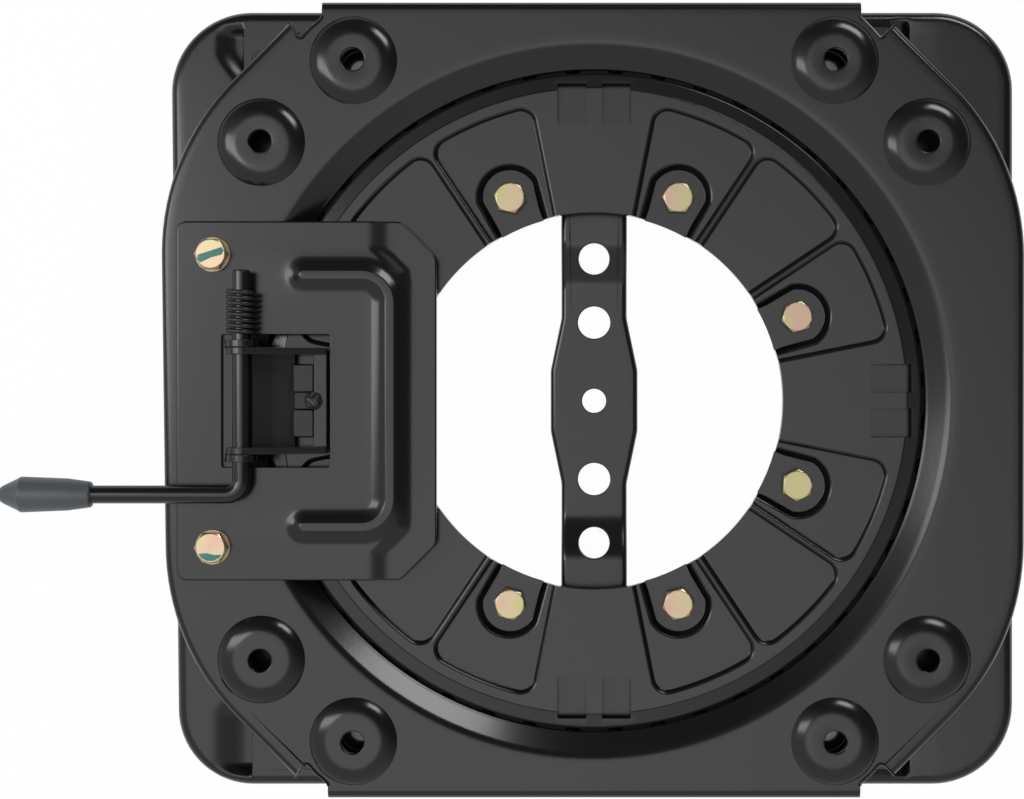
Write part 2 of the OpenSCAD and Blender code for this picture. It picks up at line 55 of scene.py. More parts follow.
# %% Helpers for materials
def linear(hex_colour):
    channels = [int(hex_colour[i:i + 2], 16) / 255 for i in (1, 3, 5)]
    return tuple(c / 12.92 if c <= 0.04045 else ((c + 0.055) / 1.055) ** 2.4 for c in channels) + (1,)


def add(tree, kind, links=None, **settings):
    """Adds a node, sets its sockets by name (underscores for spaces) or its properties, and links it."""
    node = tree.nodes.new(kind)
    for key, value in settings.items():
        socket = node.inputs.get(key.replace("_", " "))
        if socket is not None:
            socket.default_value = value
        else:
            setattr(node, key, value)
    for name, source in (links or {}).items():
        tree.links.new(source, node.inputs[name])
    return node


def new_material(name):
    material = bpy.data.materials.new(name)
    material.use_nodes = True
    tree = material.node_tree
    return material, tree, tree.nodes["Principled BSDF"]


def set_up(shader, **settings):
    for key, value in settings.items():
        shader.inputs[key.replace("_", " ")].default_value = value


# %% [markdown]
# ## Powder coat on pressed steel
# The plates are stamped, degreased and sprayed with black polyester powder that is baked on. The film
# is semi-gloss with a faint orange peel, whose waves are about 1.5 mm apart, and its gloss changes slowly
# across a plate. An image could carry the peel, but noise in object space needs no unwrapping and keeps
# its real size on every plate. IOR 1.5 is that of polyester resin.

# %% Powder coat
def powder_coat(name, shade, pale, roughness, peel_mm=1.5, peel_depth=0.06):
    material, tree, shader = new_material(name)
    place = add(tree, "ShaderNodeTexCoord")
    clouds = add(tree, "ShaderNodeTexNoise", {"Vector": place.outputs["Object"]}, Scale=9.0, Detail=3.0)
    tone = add(tree, "ShaderNodeMix", {"Factor": clouds.outputs[0]}, data_type="RGBA")
    tone.inputs[6].default_value = linear(shade)
    tone.inputs[7].default_value = linear(pale)
    tree.links.new(tone.outputs[2], shader.inputs["Base Color"])
    peel = add(tree, "ShaderNodeTexNoise", {"Vector": place.outputs["Object"]},
               Scale=1 / (peel_mm * MM), Detail=1.0)
    bump = add(tree, "ShaderNodeBump", {"Height": peel.outputs[0]}, Strength=peel_depth, Distance=0.2 * MM)
    tree.links.new(bump.outputs["Normal"], shader.inputs["Normal"])
    gloss = add(tree, "ShaderNodeMapRange", {"Value": clouds.outputs[0]})
    gloss.inputs["To Min"].default_value = roughness - 0.04
    gloss.inputs["To Max"].default_value = roughness + 0.05
    tree.links.new(gloss.outputs["Result"], shader.inputs["Roughness"])
    set_up(shader, IOR=1.5)
    return material


seat_coat = powder_coat("semi_gloss_black_powder_coat", "#0f0f10", "#151516", 0.19)
ring_coat = powder_coat("black_powder_coat_on_stamped_ring", "#101011", "#161617", 0.19)
base_coat = powder_coat("black_powder_coat_on_base_pan", "#0f0f10", "#141415", 0.2)
lock_coat = powder_coat("black_powder_coat_on_lock_cover", "#0f0f10", "#151516", 0.19)
# painted shade: the teeth and the pawl's web lie low in the lock window, so their coat is darker than the
# others; it is also rougher
tooth_coat_with_window_shade = powder_coat("rough_coat_painted_dark_as_window_shade", "#070707", "#0c0c0c", 0.45)
lever_coat = powder_coat("gloss_black_dip_coat_on_lever", "#0f0f10", "#151516", 0.2, 2.5, 0.04)

# %% [markdown]
# ## Yellow zinc on the bolts
# The M8 bolts are zinc plated and passivated in a chromate bath. The film is under a thousandth of a
# millimetre thick, so light that bounces inside it tints the metal gold with patches of pink and green
# about a centimetre across. The film itself isn't computed: a colour ramp over noise gives the same tints
# and stays easy to match to a photograph. The washers have lost some of their gloss.


# %% Yellow zinc
def yellow_zinc(name):
    material, tree, shader = new_material(name)
    place = add(tree, "ShaderNodeTexCoord")
    patches = add(tree, "ShaderNodeTexNoise", {"Vector": place.outputs["Object"]}, Scale=60.0, Detail=3.0)
    film = add(tree, "ShaderNodeValToRGB", {"Fac": patches.outputs[0]})
    film.color_ramp.elements[0].position = 0.34
    film.color_ramp.elements[0].color = linear("#b2ae7c")
    film.color_ramp.elements[1].position = 0.66
    film.color_ramp.elements[1].color = linear("#bf9f8e")
    film.color_ramp.elements.new(0.5).color = linear("#bbab8b")
    tree.links.new(film.outputs["Color"], shader.inputs["Base Color"])
    grain = add(tree, "ShaderNodeTexNoise", {"Vector": place.outputs["Object"]}, Scale=900.0, Detail=2.0)
    bump = add(tree, "ShaderNodeBump", {"Height": grain.outputs[0]}, Strength=0.12, Distance=0.1 * MM)
    tree.links.new(bump.outputs["Normal"], shader.inputs["Normal"])
    set_up(shader, Metallic=1.0, Roughness=0.34)
    return material, shader


zinc, _ = yellow_zinc("yellow_chromated_zinc")
dull_zinc, shader = yellow_zinc("dull_yellow_zinc")
set_up(shader, Roughness=0.5, Metallic=0.75)

# %% [markdown]
# ## Plain finishes
# The spring is oiled black wire, the weld is coated with the rest and the grip is a grey injection
# moulding with a fine spark-eroded grain of about 0.6 mm. The balls are bearing steel and the cage is
# black nylon, both painted nearly black as shade, so that the narrow gap above them reads dark. Each is
# one colour with a fine bump, because nothing more of them can be seen.


# %% Plain finishes
def grained(name, colour, roughness, metallic=0.0, grain_mm=0.5, depth=0.1):
    material, tree, shader = new_material(name)
    place = add(tree, "ShaderNodeTexCoord")
    grain = add(tree, "ShaderNodeTexNoise", {"Vector": place.outputs["Object"]},
                Scale=1 / (grain_mm * MM), Detail=2.0)
    bump = add(tree, "ShaderNodeBump", {"Height": grain.outputs[0]}, Strength=depth, Distance=0.1 * MM)
    tree.links.new(bump.outputs["Normal"], shader.inputs["Normal"])
    set_up(shader, Base_Color=linear(colour), Roughness=roughness, Metallic=metallic)
    return material


oiled_wire = grained("oiled_black_spring_wire", "#19191a", 0.3)
# painted shade: balls and cage are far darker than steel and nylon, so the gap between ring and shoulder
# stays black
gap_shade_ball_steel = grained("ball_steel_painted_dark_as_gap_shade", "#141414", 0.5, 1.0, 3.0, 0.02)
gap_shade_cage_nylon = grained("black_nylon_cage_painted_darker_as_gap_shade", "#040404", 0.8)
grip_pvc = grained("grey_moulded_grip", "#4c5054", 0.42, 0.0, 0.6, 0.15)
weld_metal = grained("coated_weld_bead", "#2a2a2b", 0.3, 0.0, 1.2, 0.3)

# %% [markdown]
# ## How a pressing is drawn
# A stamping is one sheet whose edges and bosses all have their own cross-section. So every feature is
# an outline seen from above plus a section that is swept round it, with the die radius in each corner.
# The flat field between the features is filled afterwards. Cuts and a bevel could do it too, but they
# leave uneven edges where a fold meets the field. Outlines and sections are in millimetres, and every
# sheet is T thick.


# %% Outlines with rounded corners
def arc(cx, cy, r, start, stop, steps):
    angles = [math.radians(start + (stop - start) * i / steps) for i in range(steps + 1)]
    return [(cx + r * math.cos(a), cy + r * math.sin(a)) for a in angles]


def circle(cx, cy, r, steps=96):
    return arc(cx, cy, r, 0, 360, steps)[:-1]


def fillet(corners, closed=True, step=12):
    """Rounds each corner (x, y, r) of a polygon or, when open, of a section."""
    points = []
    for i, (x, y, r) in enumerate(corners):
        here = Vector((x, y))
        a = Vector(corners[i - 1][:2]) - here
        b = Vector(corners[(i + 1) % len(corners)][:2]) - here
        end = not closed and i in (0, len(corners) - 1)
        turn = 0 if end or r == 0 else math.pi - a.angle(b)
        if turn < 0.001:
            points.append((x, y))
            continue
        room = [side.length * (0.49 if corners[j % len(corners)][2] else 0.97)
                for side, j in ((a, i - 1), (b, i + 1))]
        reach = min(r * math.tan(turn / 2), *room)
        r = reach / math.tan(turn / 2)
        centre = here + (a.normalized() + b.normalized()).normalized() * (r / math.cos(turn / 2))
        first = here + a.normalized() * reach - centre
        last = here + b.normalized() * reach - centre
        sweep = math.atan2(first.x * last.y - first.y * last.x, first.dot(last))
        steps = max(2, math.ceil(math.degrees(turn) / step))
        start = math.atan2(first.y, first.x)
        points += [(centre.x + r * math.cos(start + sweep * k / steps),
                    centre.y + r * math.sin(start + sweep * k / steps)) for k in range(steps + 1)]
    return points


def in_quarters(points):
    """The same counter-clockwise stretch of outline in all four quarters."""
    back = points[::-1]
    return [points, [(-x, y) for x, y in back], [(-x, -y) for x, y in points], [(x, -y) for x, y in back]]


def outward(points, closed=True):
    """Mitred outward direction at each point of a counter-clockwise outline."""
    result = []
    for i in range(len(points)):
        normals = []
        for j in (i - 1, i):
            if closed or 0 <= j < len(points) - 1:
                edge = Vector(points[(j + 1) % len(points)]) - Vector(points[j])
                normals.append(Vector((edge.y, -edge.x)).normalized())
        both = normals[0] + normals[-1]
        result.append(both / (1 + normals[0].dot(normals[-1])))
    return result


def counter_clockwise(path):
    area = sum(a[0] * b[1] - b[0] * a[1] for a, b in zip(path, path[1:] + path[:1]))
    return path if area > 0 else path[::-1]


print("a corner of radius 5 has", len(fillet([(0, 0, 0), (10, 0, 5), (10, 10, 0)], False)) - 2, "points")


# %% Sweep a section round an outline, and fill the flat field
def sweep(mesh, path, section, closed=True, tube=False):
    """Walls between the outline shifted by each (distance, height) of the section."""
    sides = list(zip(path, outward(path, closed)))
    rings = [[mesh.verts.new(((x + n.x * d) * MM, (y + n.y * d) * MM, z * MM)) for (x, y), n in sides]
             for d, z in section]
    pairs = list(zip(rings, rings[1:])) + ([(rings[-1], rings[0])] if tube else [])
    for low, high in pairs:
        for i in range(len(path) if closed else len(path) - 1):
            j = (i + 1) % len(path)
            mesh.faces.new((low[i], low[j], high[j], high[i]))
    if tube and not closed:
        mesh.faces.new([ring[0] for ring in rings])
        mesh.faces.new([ring[-1] for ring in rings])
    return rings[0], rings[-1]


def shifted(path, distance, closed=True):
    """The outline moved outward by a distance."""
    return [(x + n.x * distance, y + n.y * distance) for (x, y), n in zip(path, outward(path, closed))]


def fill(mesh, *loops):
    """Flat faces inside the first loop and outside the others."""
    corners = [vertex for loop in loops for vertex in loop]
    for triangle in tessellate_polygon([[vertex.co for vertex in loop] for loop in loops]):
        mesh.faces.new([corners[i] for i in triangle])


# %% A sheet with features, and the sections of its edges
T = 3.0


class Sheet:
    """Features of one flat sheet, whose rims on both sides wait for the field to be filled in."""

    def __init__(self):
        self.mesh = bmesh.new()
        self.tops = []
        self.unders = []

    def feature(self, path, section):
        top, under = sweep(self.mesh, path, section)
        self.tops.append(top)
        self.unders.append(under)

    def field(self, path, section):
        top, under = sweep(self.mesh, path, section)
        fill(self.mesh, top, *self.tops)
        fill(self.mesh, under, *self.unders)
        print("a sheet with", len(self.tops), "features")


def plate_edge(z, width=0.6, top_r=0.4, foot_r=0.3):
    """Section of a sheet's cut edge: a strip of the top, the rounded edge and a strip of the underside."""
    return fillet([(width, z, 0), (0, z, top_r), (0, z - T, foot_r), (width, z - T, 0)], False)


def rolled(z, drop, land, roll):
    """Closed section of an edge that is rolled down: land, bend and skirt, as thick as the sheet."""
    outer = [(-land, z, 0), (0, z, roll), (0, z - drop, 0.7), (-T, z - drop, 0.5), (-T, z - T, roll - T),
             (-land, z - T, 0)]
    return fillet(outer, False, 8)


def dome(width, height, foot, steps=9):
    """Section of a sheet that bulges up from a crisp foot line: outer arc, and inner arc back."""
    lean = 2 * math.atan(height / width)
    r = width / math.sin(lean)
    angles = [lean * k / steps for k in range(steps, -1, -1)]
    low = foot + height - r
    return [[(q * math.sin(a) - width, low + q * math.cos(a)) for a in angles] for q in (r, r - T)]


# %% From outlines to a piece that can be bent
def only(piece):
    bpy.ops.object.select_all(action="DESELECT")
    piece.select_set(True)
    bpy.context.view_layer.objects.active = piece


def to_object(mesh, name):
    data = bpy.data.meshes.new(name)
    mesh.to_mesh(data)
    mesh.free()
    piece = bpy.data.objects.new(name, data)
    bpy.context.scene.collection.objects.link(piece)
    only(piece)
    bpy.ops.object.mode_set(mode="EDIT")
    bpy.ops.mesh.select_all(action="SELECT")
    bpy.ops.mesh.normals_make_consistent(inside=False)
    bpy.ops.object.mode_set(mode="OBJECT")
    return piece


def slice_at(piece, place, direction):
    """Adds a line of points where a plane crosses the sheet, so that it can bend there."""
    only(piece)
    bpy.ops.object.mode_set(mode="EDIT")
    bpy.ops.mesh.select_all(action="SELECT")
    bpy.ops.mesh.bisect(plane_co=[c * MM for c in place], plane_no=direction)
    bpy.ops.object.mode_set(mode="OBJECT")


def smooth_ramp(value, start, stop):
    t = min(1, max(0, (value - start) / (stop - start)))
    return t * t * (3 - 2 * t)


# %% Finish a piece
def finish_piece(piece, body, material, replaces=None, angle=30):
    only(piece)
    bpy.ops.object.shade_smooth_by_angle(angle=math.radians(angle))
    piece.data.materials.clear()
    piece.data.materials.append(material)
    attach(piece, body)
    if replaces:
        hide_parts(replaces)
    print(piece.name, "has", len(piece.data.polygons), "faces")


# %% [markdown]
# ## Seat plate
# The turning half is one 3 mm pressing: a drawn shoulder round the big opening, eight raised bosses for
# the seat's bolts, and edges rolled down on four sides. Each boss is one section swept round a circle,
# from the field over the foot, the dome and the top, through the hole and back along the underside. The
# four corners differ a little, as the photograph shows, so each has its own numbers. The rolled edges are
# sweeps of their own that meet the field, because each side is folded down by its own amount.

# %% Seat plate: bosses, bolt holes and shoulder
SEAT = 33.0
TRACK = 24.525
BOSS_H = 4.0
BOSS_R = 19.6
BOSSES = [(148.6, 115.5), (107.5, 152)]
LOCK_BOLT = (-169.5, 65)
BOLT_HOLE_R = 4.3
SHOULDER_R = 160
sheet = Sheet()
outer, inner = dome(9, BOSS_H, SEAT)
rim = fillet([(-9.2, SEAT + BOSS_H, 0), (-14.6, SEAT + BOSS_H, 0.7), (-14.6, SEAT + BOSS_H - T, 0.3),
              (-9.2, SEAT + BOSS_H - T, 0)], False)
boss = [(0.35, SEAT), (0.1, SEAT)] + outer + rim + inner[::-1] + [(0.35, SEAT - T)]
for x, y in BOSSES:
    for sx in (-1, 1):
        for sy in (-1, 1):
            sheet.feature(circle(sx * x, sy * y, BOSS_R), boss)
for side in (-1, 1):
    sheet.feature(circle(LOCK_BOLT[0], side * LOCK_BOLT[1], BOLT_HOLE_R, 48), plate_edge(SEAT, 0.5, 0.3))
shoulder = fillet([(4.8, SEAT, 0), (-1.0, SEAT, 8.5), (-9.7, 26.3, 1.2), (-10.8, 25.6, 0.5),
                   (-11.1, TRACK, 0.3), (-5.2, TRACK, 0.5), (-0.8, 27.8, 1.5), (2, SEAT - T, 2),
                   (4.8, SEAT - T, 0)], False, 5)
sheet.feature(circle(0, 0, SHOULDER_R, 288), shoulder)

# %% Seat plate: its field between four notched corners
# each row is the centre of a round flank, then the x of the notch's inner point and of the flange's end
FIELD_R = 103.5
CORNERS = [(82.7, 64.3, 128.1, 119.3), (83.7, 66.3, 131.0, 121.6), (82.0, 64.2, 128.2, 118.9),
           (82.5, 63.8, 128.0, 118.9)]
TIPS = [(134.6, 167.9), (-136.4, 169.2), (-133.6, -168.2), (134.4, -167.4)]
field, notches = [], []
for k, (cx, cy, vee, end) in enumerate(CORNERS):
    foot = cx + cy + FIELD_R * math.sqrt(2) - vee
    notch = [(vee + 1.9, foot - 1.9), (vee + 0.9, 162.5), (vee + 0.1, 162.25), (vee - 0.8, 162.6),
             (vee - 4, 166.3), (end + 1.9, 169.2), (end + 0.5, 170.6), (end, 171.3), (end, 172)]
    inset = shifted(notch, -1.2, False)
    field += in_quarters(arc(cx, cy, FIELD_R, 0, 45, 16) + inset)[k]
    notches.append(in_quarters(notch)[k])
sheet.field(field, [(0, SEAT), (0, SEAT - T)])
mesh = sheet.mesh
angles = [math.tau * k / 8 for k in range(8)]
fat_edge = [(0.55 * math.cos(a), SEAT - 0.25 + 0.55 * math.sin(a)) for a in angles]
for k, (tip, notch) in enumerate(zip(TIPS, notches)):
    sweep(mesh, [tip] + notch if k % 2 == 0 else notch + [tip], fat_edge, False, True)
notch_edge = fillet([(-1.2, SEAT, 0), (0, SEAT, 1.1), (0, SEAT - T, 0.3), (-1.2, SEAT - T, 0)], False)
for notch in notches:
    sweep(mesh, notch, notch_edge, False)

# %% Seat plate: flanges at the top and bottom, rolled flanks at the sides
EDGE_R = 110
sweep(mesh, [(119.3, 178.5), (-121.6, 178.5)], rolled(SEAT, 14, 6.5, 4), False, True)
sweep(mesh, [(-118.9, -177.8), (118.9, -177.8)], rolled(SEAT, 14, 5.8, 4), False, True)
right = arc(82.5, -63.8, EDGE_R, -45, 0, 16) + arc(82.7, 64.3, EDGE_R, 0, 45, 16)
left = arc(-83.7, 66.3, EDGE_R, 135, 180, 16) + arc(-82, -64.2, EDGE_R, 180, 225, 16)
for path in ([TIPS[3]] + right + [TIPS[0]], [TIPS[1]] + left + [TIPS[2]]):
    sweep(mesh, path, rolled(SEAT, 7, 6.5, 4), False, True)
finish_piece(to_object(mesh, "seat_plate_pressing"), "turntable", seat_coat, "seat_plate")

# %% [markdown]
# ## Base pan
# The fixed half stands on its rolled rim and on four pressed feet. A round platform rises in the middle
# for the bearing. In each corner a short pocket is pressed down, with one crisp side and one soft side.
# The pan is drawn flat, lines are added where the pockets will be, and each point is then lowered. That
# keeps the mesh dense only where it bends, which a displacement map wouldn't.

# %% Base pan
BASE = 10.0
PLATFORM_R = 150
FOOT, FOOT_R = BOSSES[1], 17
CORNER_HOLE, CORNER_HOLE_R = (-153, 156.5), 3.2
sheet = Sheet()
platform = fillet([(4, BASE, 0), (0, BASE, 4), (-8, 16, 3), (-62, 16, 0.5), (-62, 13, 0.5), (-9, 13, 1),
                   (-1, BASE - T, 4), (4, BASE - T, 0)], False)
foot = fillet([(0.6, BASE, 0), (-2.5, BASE, 2), (-7.5, 3, 1), (-12, 3, 0.4), (-12, 0, 0.4), (-5, 0, 1.5),
               (-1.5, BASE - T, 2), (0.6, BASE - T, 0)], False)
sheet.feature(circle(0, 0, PLATFORM_R, 240), platform)
sheet.feature(circle(*CORNER_HOLE, CORNER_HOLE_R, 40), plate_edge(BASE))
for sx in (-1, 1):
    for sy in (-1, 1):
        sheet.feature(circle(sx * FOOT[0], sy * FOOT[1], FOOT_R, 72), foot)
edge = fillet([(192.3, -176.2, 37), (192.3, 178.5, 36), (-194.6, 178.5, 37), (-190.7, -176.2, 34.5)],
              True, 5)
sheet.field(edge, rolled(BASE, 10, 7.6, 6.4))
pan = to_object(sheet.mesh, "base_pan_pressing")

# %% Base pan: press the four corner pockets


def pan_depth(x, y):
    """How far the pan is pressed down at a place in one of its corner pockets."""
    along = y if y > 0 else 2 - y
    if x > 0:
        deep = 0.9 * smooth_ramp(x, 134.6, 135.5) + 3.0 * smooth_ramp(x, 135.5, 141.5)
        rise = 0.9 * smooth_ramp(x, 142.5, 145) + 0.1 * smooth_ramp(x, 145, 158)
        return deep * (1 - rise) * smooth_ramp(along, 140, 150) * (1 - smooth_ramp(along, 167, 176))
    if y < 0:
        along -= 2
        deep = smooth_ramp(-x, 156.4, 157.2) * (1 - smooth_ramp(-x, 156, 179))
        return 4.5 * deep * smooth_ramp(along, 136, 146) * (1 - smooth_ramp(along, 166, 173))
    soft = 175 - 11 * smooth_ramp(-y, -162, -140)
    deep = smooth_ramp(-x, 160.4, 161.4) * (1 - smooth_ramp(-x, soft - 12, soft))
    return 3.3 * deep * smooth_ramp(y, 139, 149) * (1 - smooth_ramp(y, 166.5, 173))


# each row is where a set of lines starts, its step and its count, densest at the crisp sides
LINES = [(134.6, 0.45, 4), (137, 2, 3), (141.8, 0.7, 5), (146.5, 3, 5), (-156.3, -0.3, 4), (-159, 0, 1),
         (-160.3, -0.4, 4), (-163, -1.1, 15)]
for start, step, count in LINES:
    for k in range(count):
        slice_at(pan, (start + step * k, 0, 0), (1, 0, 0))
for k in range(21):
    for sy in (-1, 1):
        slice_at(pan, (0, sy * (137 + 2 * k), 0), (0, 1, 0))
for vertex in pan.data.vertices:
    if vertex.co.z > 2 * MM:
        vertex.co.z -= MM * pan_depth(vertex.co.x / MM, vertex.co.y / MM)
finish_piece(pan, "base", base_coat, "base_plate")

# %% [markdown]
# ## Clamp ring
# The upper inner race is the piece that took the most press work: twelve sector pockets, eight of them
# with a cup for a bolt, and four pairs of slots for the lock's teeth. The pockets run out at the big
# opening, so they are drawn a little too long and the opening is cut last, as the press does it.

# %% Clamp ring: pockets and cups
RING = 27.5
RING_R = 147.5
OPENING_R = 84.9
POCKET_PITCH = 22.5
HALF = math.radians(POCKET_PITCH / 2)


def sector(gap, outer, corner, inner):
    """A pocket between two sector lines, kept a gap away from them."""
    reach = math.sqrt((outer - corner) ** 2 - (gap + corner) ** 2)
    cx = reach * math.cos(HALF) + (gap + corner) * math.sin(HALF)
    cy = reach * math.sin(HALF) - (gap + corner) * math.cos(HALF)
    turn = math.degrees(math.atan2(cy, cx))
    upper = arc(0, 0, outer, 0, turn, 8) + arc(cx, cy, corner, turn, 101.25, 10)[1:]
    upper.append((inner * math.cos(HALF) + gap * math.sin(HALF),
                  inner * math.sin(HALF) - gap * math.cos(HALF)))
    return [(x, -y) for x, y in reversed(upper[1:])] + upper


def cup(leg, r, inner=82.5):
    """A cup for a bolt: round outside, with two straight legs to the opening."""
    return [(inner, -leg)] + arc(99.5, 0, r, -80, 80, 32) + [(inner, leg)]


def turned(points, degrees):
    """The outline turned about the swivel axis."""
    c, s = math.cos(math.radians(degrees)), math.sin(math.radians(degrees))
    return [(x * c - y * s, x * s + y * c) for x, y in points]


mesh = bmesh.new()
wall = fillet([(1.15, RING, 0), (0, RING, 2.2), (-0.9, 25, 0.5), (-1.4, 25, 0)], False, 8)
well = fillet([(0.9, 25, 0), (0, 25, 3), (-2.5, 22, 0.8), (-3.1, 22, 0)], False, 6)
lump = [(0.3, 22), (0, 22), (-2.6, 19), (-3, 19)]
tops, unders = [], []
for k in range(16):
    if k % 4:
        top, floor_ring = sweep(mesh, turned(sector(1.2, 135.6, 7, 77), POCKET_PITCH * k), wall)
        tops.append(top)
        if k % 2:
            lip, bed = sweep(mesh, turned(cup(11.9, 14.8, 80.5), POCKET_PITCH * k), well)
            fill(mesh, floor_ring, lip)
            fill(mesh, bed)
            under, bed = sweep(mesh, turned(cup(14.4, 16.6), POCKET_PITCH * k), lump)
            unders.append(under)
            fill(mesh, bed)
        else:
            fill(mesh, floor_ring)
rim = fillet([(-8, RING, 0), (-7, RING, 0.3), (-6.6, 27.2, 0.3), (-1.0, 26.7, 1.2), (0, 25.8, 0.5),
              (0, 23.5, 0.2), (-2.3, 23.5, 0.3), (-4, 24.5, 0.5), (-12.5, 24.5, 0.5), (-15, 22, 0.5),
              (-17, 22, 0)], False)
top, under = sweep(mesh, circle(0, 0, RING_R, 288), rim)
inner_top, inner_under = sweep(mesh, circle(0, 0, 70, 96), [(0, RING), (0, 22)])
fill(mesh, top, inner_top, *tops)
fill(mesh, under, inner_under, *unders)
ring = to_object(mesh, "clamp_ring_pressing")
print("pockets:", len(tops), "cups:", len(unders))

# %% Clamp ring: cut the opening and the slots
mesh = bmesh.new()
through = [(0, 10), (0, 40)]
low, high = sweep(mesh, circle(0, 0, OPENING_R, 288), through)
fill(mesh, low)
fill(mesh, high)
for k in range(4):
    for s in (-10, 10):
        slot = fillet([(124, s - 6.5, 1.2), (143, s - 6.5, 0.6), (143, s + 6.5, 0.6), (124, s + 6.5, 1.2)],
                      True, 20)
        low, high = sweep(mesh, turned(slot, 90 * k), through)
        fill(mesh, low)
        fill(mesh, high)
cutter = to_object(mesh, "ring_cutter")
cut = ring.modifiers.new("cut", "BOOLEAN")
cut.object = cutter
cut.operation = "DIFFERENCE"
cut.solver = "EXACT"
only(ring)
bpy.ops.object.modifier_apply(modifier="cut")
bpy.data.objects.remove(cutter)
finish_piece(ring, "base", ring_coat, "clamp_ring")

# %% [markdown]
# ## Lock cover
# A plate bolted over the lock carries the lever bracket. It has a raised C-shaped bead for stiffness, a
# window over the teeth, and an end that steps down 2 mm. It is drawn flat and then bent: lines are added
# where the step will be, and each point is lowered by a smooth ramp.

# %% Lock cover
LOCK = 36.0
BEAD, BEAD_END = 5.7, (-129, 56)
sheet = Sheet()
window = fillet([(-165.7, -29.5, 1), (-117.7, -29.5, 1), (-117.7, 29.5, 1), (-165.7, 29.5, 1)])
for side in (-1, 1):
    sheet.feature(circle(LOCK_BOLT[0], side * LOCK_BOLT[1], BOLT_HOLE_R, 48), plate_edge(LOCK))
sheet.feature(window, plate_edge(LOCK))
x, y = BEAD_END
spine = [(x, y)] + arc(-103.3, 43.5, 12.5, 90, 0, 12) + arc(-103.3, -43.5, 12.5, 0, -90, 12) + [(x, -y)]
lower_end, upper_end = [arc(x, side * y, BEAD, 270, 90, 12)[1:-1] for side in (-1, 1)]
bead = counter_clockwise(shifted(spine, -BEAD, False) + lower_end
                         + shifted(spine, BEAD, False)[::-1] + upper_end)
slope = fillet([(6.0, LOCK, 0), (0.6, LOCK + 0.3, 14), (-3.8, LOCK + 2.9, 1.6), (-5.6, LOCK + 3.0, 0)],
               False, 3)
top, crest = sweep(sheet.mesh, bead, slope)
sheet.tops.append(top)
fill(sheet.mesh, crest)
edge = fillet([(-186, -80, 4.5), (-86.3, -80, 5), (-70.3, -64, 5), (-70.3, 64, 5), (-86.3, 80, 5),
               (-186, 80, 4.5)])
sheet.field(edge, plate_edge(LOCK, -1.2, 0.8, 0.5))
cover = to_object(sheet.mesh, "lock_cover_pressing")


# %% Lock cover: bend the stepped end down
STEP_DOWN = 2


def step_depth(x, y):
    """How far the sheet is pressed down at a place: 0 on the field, 1 past the step."""
    straight = (x + 88.8) / 8
    corner = min((x + 102) / 12, ((x + 85 + abs(y) - 58) * math.sqrt(0.5) + 4.5) / 7.5)
    return smooth_ramp(max(straight, corner), 0, 1)


for k in range(26):
    slice_at(cover, (-102 + 0.86 * k, 0, 0), (1, 0, 0))
for k in range(10):
    for sy in (-1, 1):
        reach = (-4.5 + 0.8 * k) * math.sqrt(2)
        slice_at(cover, (-85 + reach, 58 * sy, 0), (1, sy, 0))
for vertex in cover.data.vertices:
    vertex.co.z -= STEP_DOWN * MM * step_depth(vertex.co.x / MM, vertex.co.y / MM)
finish_piece(cover, "turntable", lock_coat, "lock_plate", 40)

# %% [markdown]
# ## Strap
# A channel-shaped strap crosses the opening below the rings. Its edges are turned down, it is widest in
# the middle, and it climbs at each end to meet the platform. It is drawn flat and bent as the cover is.

# %% Strap
sheet = Sheet()
quarter = [(20, 14, 10), (15, 38, 10), (15, 104, 3)]
back = quarter[::-1]
edge = fillet(quarter + [(-x, y, r) for x, y, r in back] + [(-x, -y, r) for x, y, r in quarter]
              + [(x, -y, r) for x, y, r in back])
channel = fillet([(-4.4, 0, 0), (0, 0, 2.6), (0, -5, 0.4), (-T, -5, 0.4), (-T, -T, 0.6), (-4.4, -T, 0)],
                 False, 10)
for y, r in [(0, 5.5), (-36, 7.4), (36, 7.4), (-65, 7), (65, 7)]:
    sheet.feature(circle(0, y, r, 64), plate_edge(0, 0.7, 0.5))
sheet.field(edge, channel)
strap = to_object(sheet.mesh, "centre_strap_pressing")
MIDDLE, CLIMB, CLIMB_FROM, CLIMB_TO = 6, 7, 51, 74
for k in range(17):
    for sy in (-1, 1):
        slice_at(strap, (0, sy * (CLIMB_FROM + 1.4 * k), 0), (0, 1, 0))
for vertex in strap.data.vertices:
    vertex.co.z += (MIDDLE + CLIMB * smooth_ramp(abs(vertex.co.y) / MM, CLIMB_FROM, CLIMB_TO)) * MM
finish_piece(strap, "base", base_coat, "centre_bridge")


# %% [markdown]
# ## Small steel parts
# The brackets, races, bolts and pawl are right as solids. Each is copied, its loose triangles are merged
# into clean faces, and a bevel rounds the sharp edges of all but the round pieces. Drawing them anew would
# only repeat the solids. Weighted normals keep the flat faces flat to the light.


# %% Soften a copy of a solid
def clean_copy(node, name):
    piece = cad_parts[node].copy()
    piece.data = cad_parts[node].data.copy()
    piece.name = name
    piece.parent = None
    piece.matrix_world = Matrix.Identity(4)
    bpy.context.scene.collection.objects.link(piece)
    only(piece)
    bpy.ops.object.mode_set(mode="EDIT")
    bpy.ops.mesh.select_all(action="SELECT")
    bpy.ops.mesh.remove_doubles(threshold=0.00001)
    bpy.ops.mesh.dissolve_limited(angle_limit=math.radians(0.6))
    bpy.ops.object.mode_set(mode="OBJECT")
    return piece


def softened(node, name, radius_mm, body, material, segments=2, angle=24):
    piece = clean_copy(node, name)
    if radius_mm:
        bevel = piece.modifiers.new("edge_radius", "BEVEL")
        bevel.width = radius_mm * MM
        bevel.segments = segments
        bevel.limit_method = "ANGLE"
        bevel.angle_limit = math.radians(angle)
    finish_piece(piece, body, material, node, 35)
    weighted = piece.modifiers.new("flat_faces", "WEIGHTED_NORMAL")
    weighted.keep_sharp = True
    for modifier in list(piece.modifiers):
        bpy.ops.object.modifier_apply(modifier=modifier.name)
    return piece


